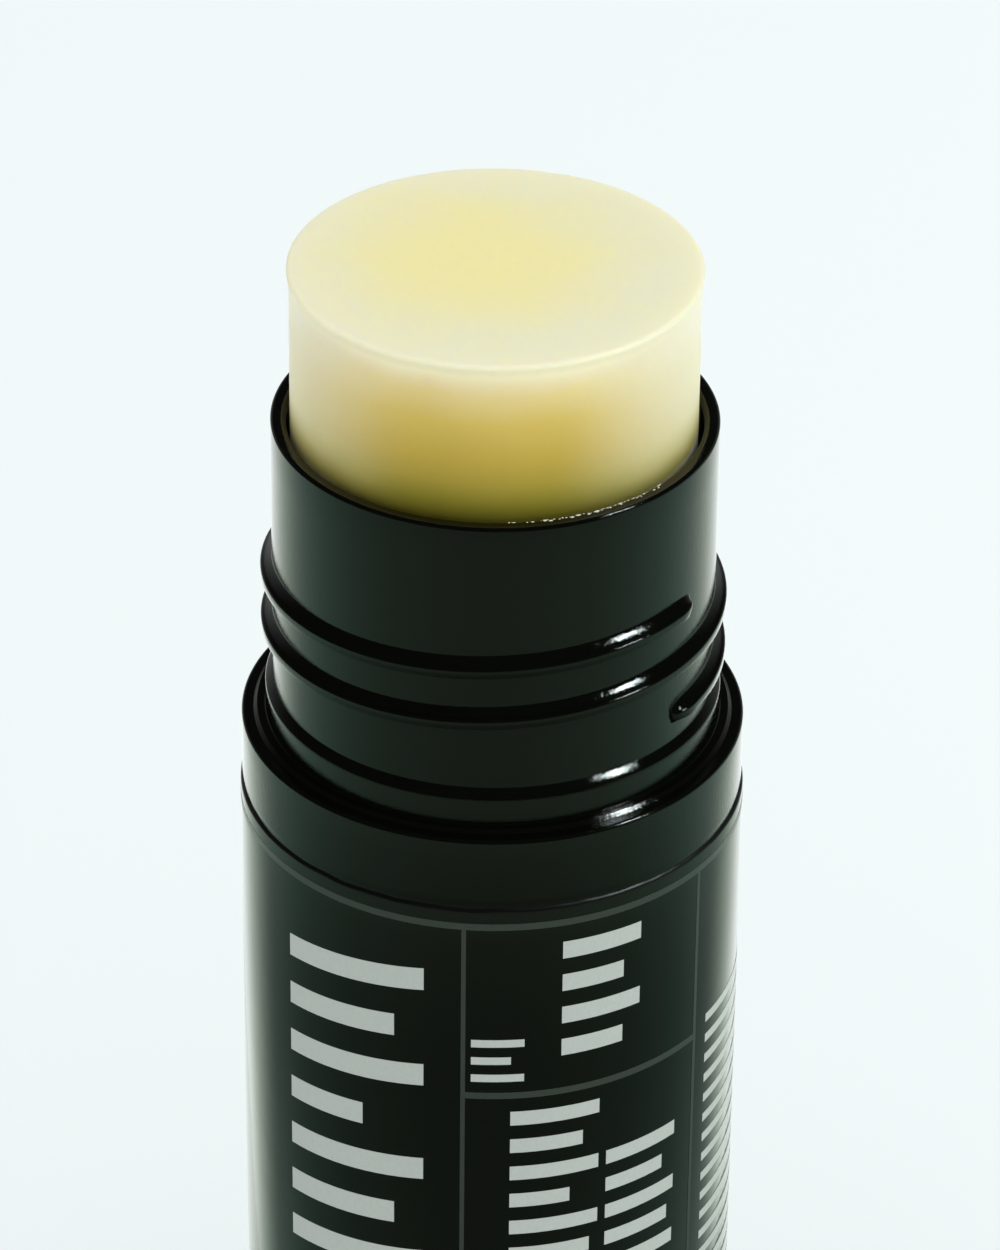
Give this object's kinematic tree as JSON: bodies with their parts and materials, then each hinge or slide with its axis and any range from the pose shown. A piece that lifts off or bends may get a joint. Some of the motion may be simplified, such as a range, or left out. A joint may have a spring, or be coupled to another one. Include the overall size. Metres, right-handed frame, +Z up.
{
  "type": "twist-up lip balm stick",
  "caption": "Round twist-up lip balm stick with a double-walled black tube, a threaded neck, a grooved base knob and a pale cylinder of balm wound up above the rim.",
  "frame": {"origin": "middle of the face that the stick stands on, under the knob", "axes": "+Z up along the stick's axis, -Y is the front of the label, +X to the right of the front"},
  "size_m": [0.0254, 0.0254, 0.0862],
  "materials": {
    "tube_black": "moulded black polypropylene with a soft gloss",
    "label_film": "black printed film label, wrapped and glued, satin",
    "natural_plastic": "uncoloured moulded polypropylene",
    "balm_wax": "pale yellow wax and oil balm, waxy sheen, slightly translucent"
  },
  "bodies": {
    "tube": {"inner_barrel": "tube_black", "outer_sleeve": "tube_black", "label": "label_film"},
    "knob": {"twist_knob": "tube_black", "lead_screw": "natural_plastic"},
    "stick": {"balm_carrier": "natural_plastic", "balm": "balm_wax"}
  },
  "joints": [
    {"name": "knob_twist", "type": "hinge", "parent": "tube", "child": "knob", "pos_m": [0, 0, 0.0045], "axis": [0, 0, 1], "range_deg": [-669, 3268]},
    {"name": "balm_slide", "type": "slide", "parent": "tube", "child": "stick", "axis": [0, 0, 1], "range_m": [-0.0093, 0.0454]}
  ],
  "couplings": [
    {"joint": "balm_slide", "follows": "knob_twist", "m_per_rad": 0.00079577}
  ]
}
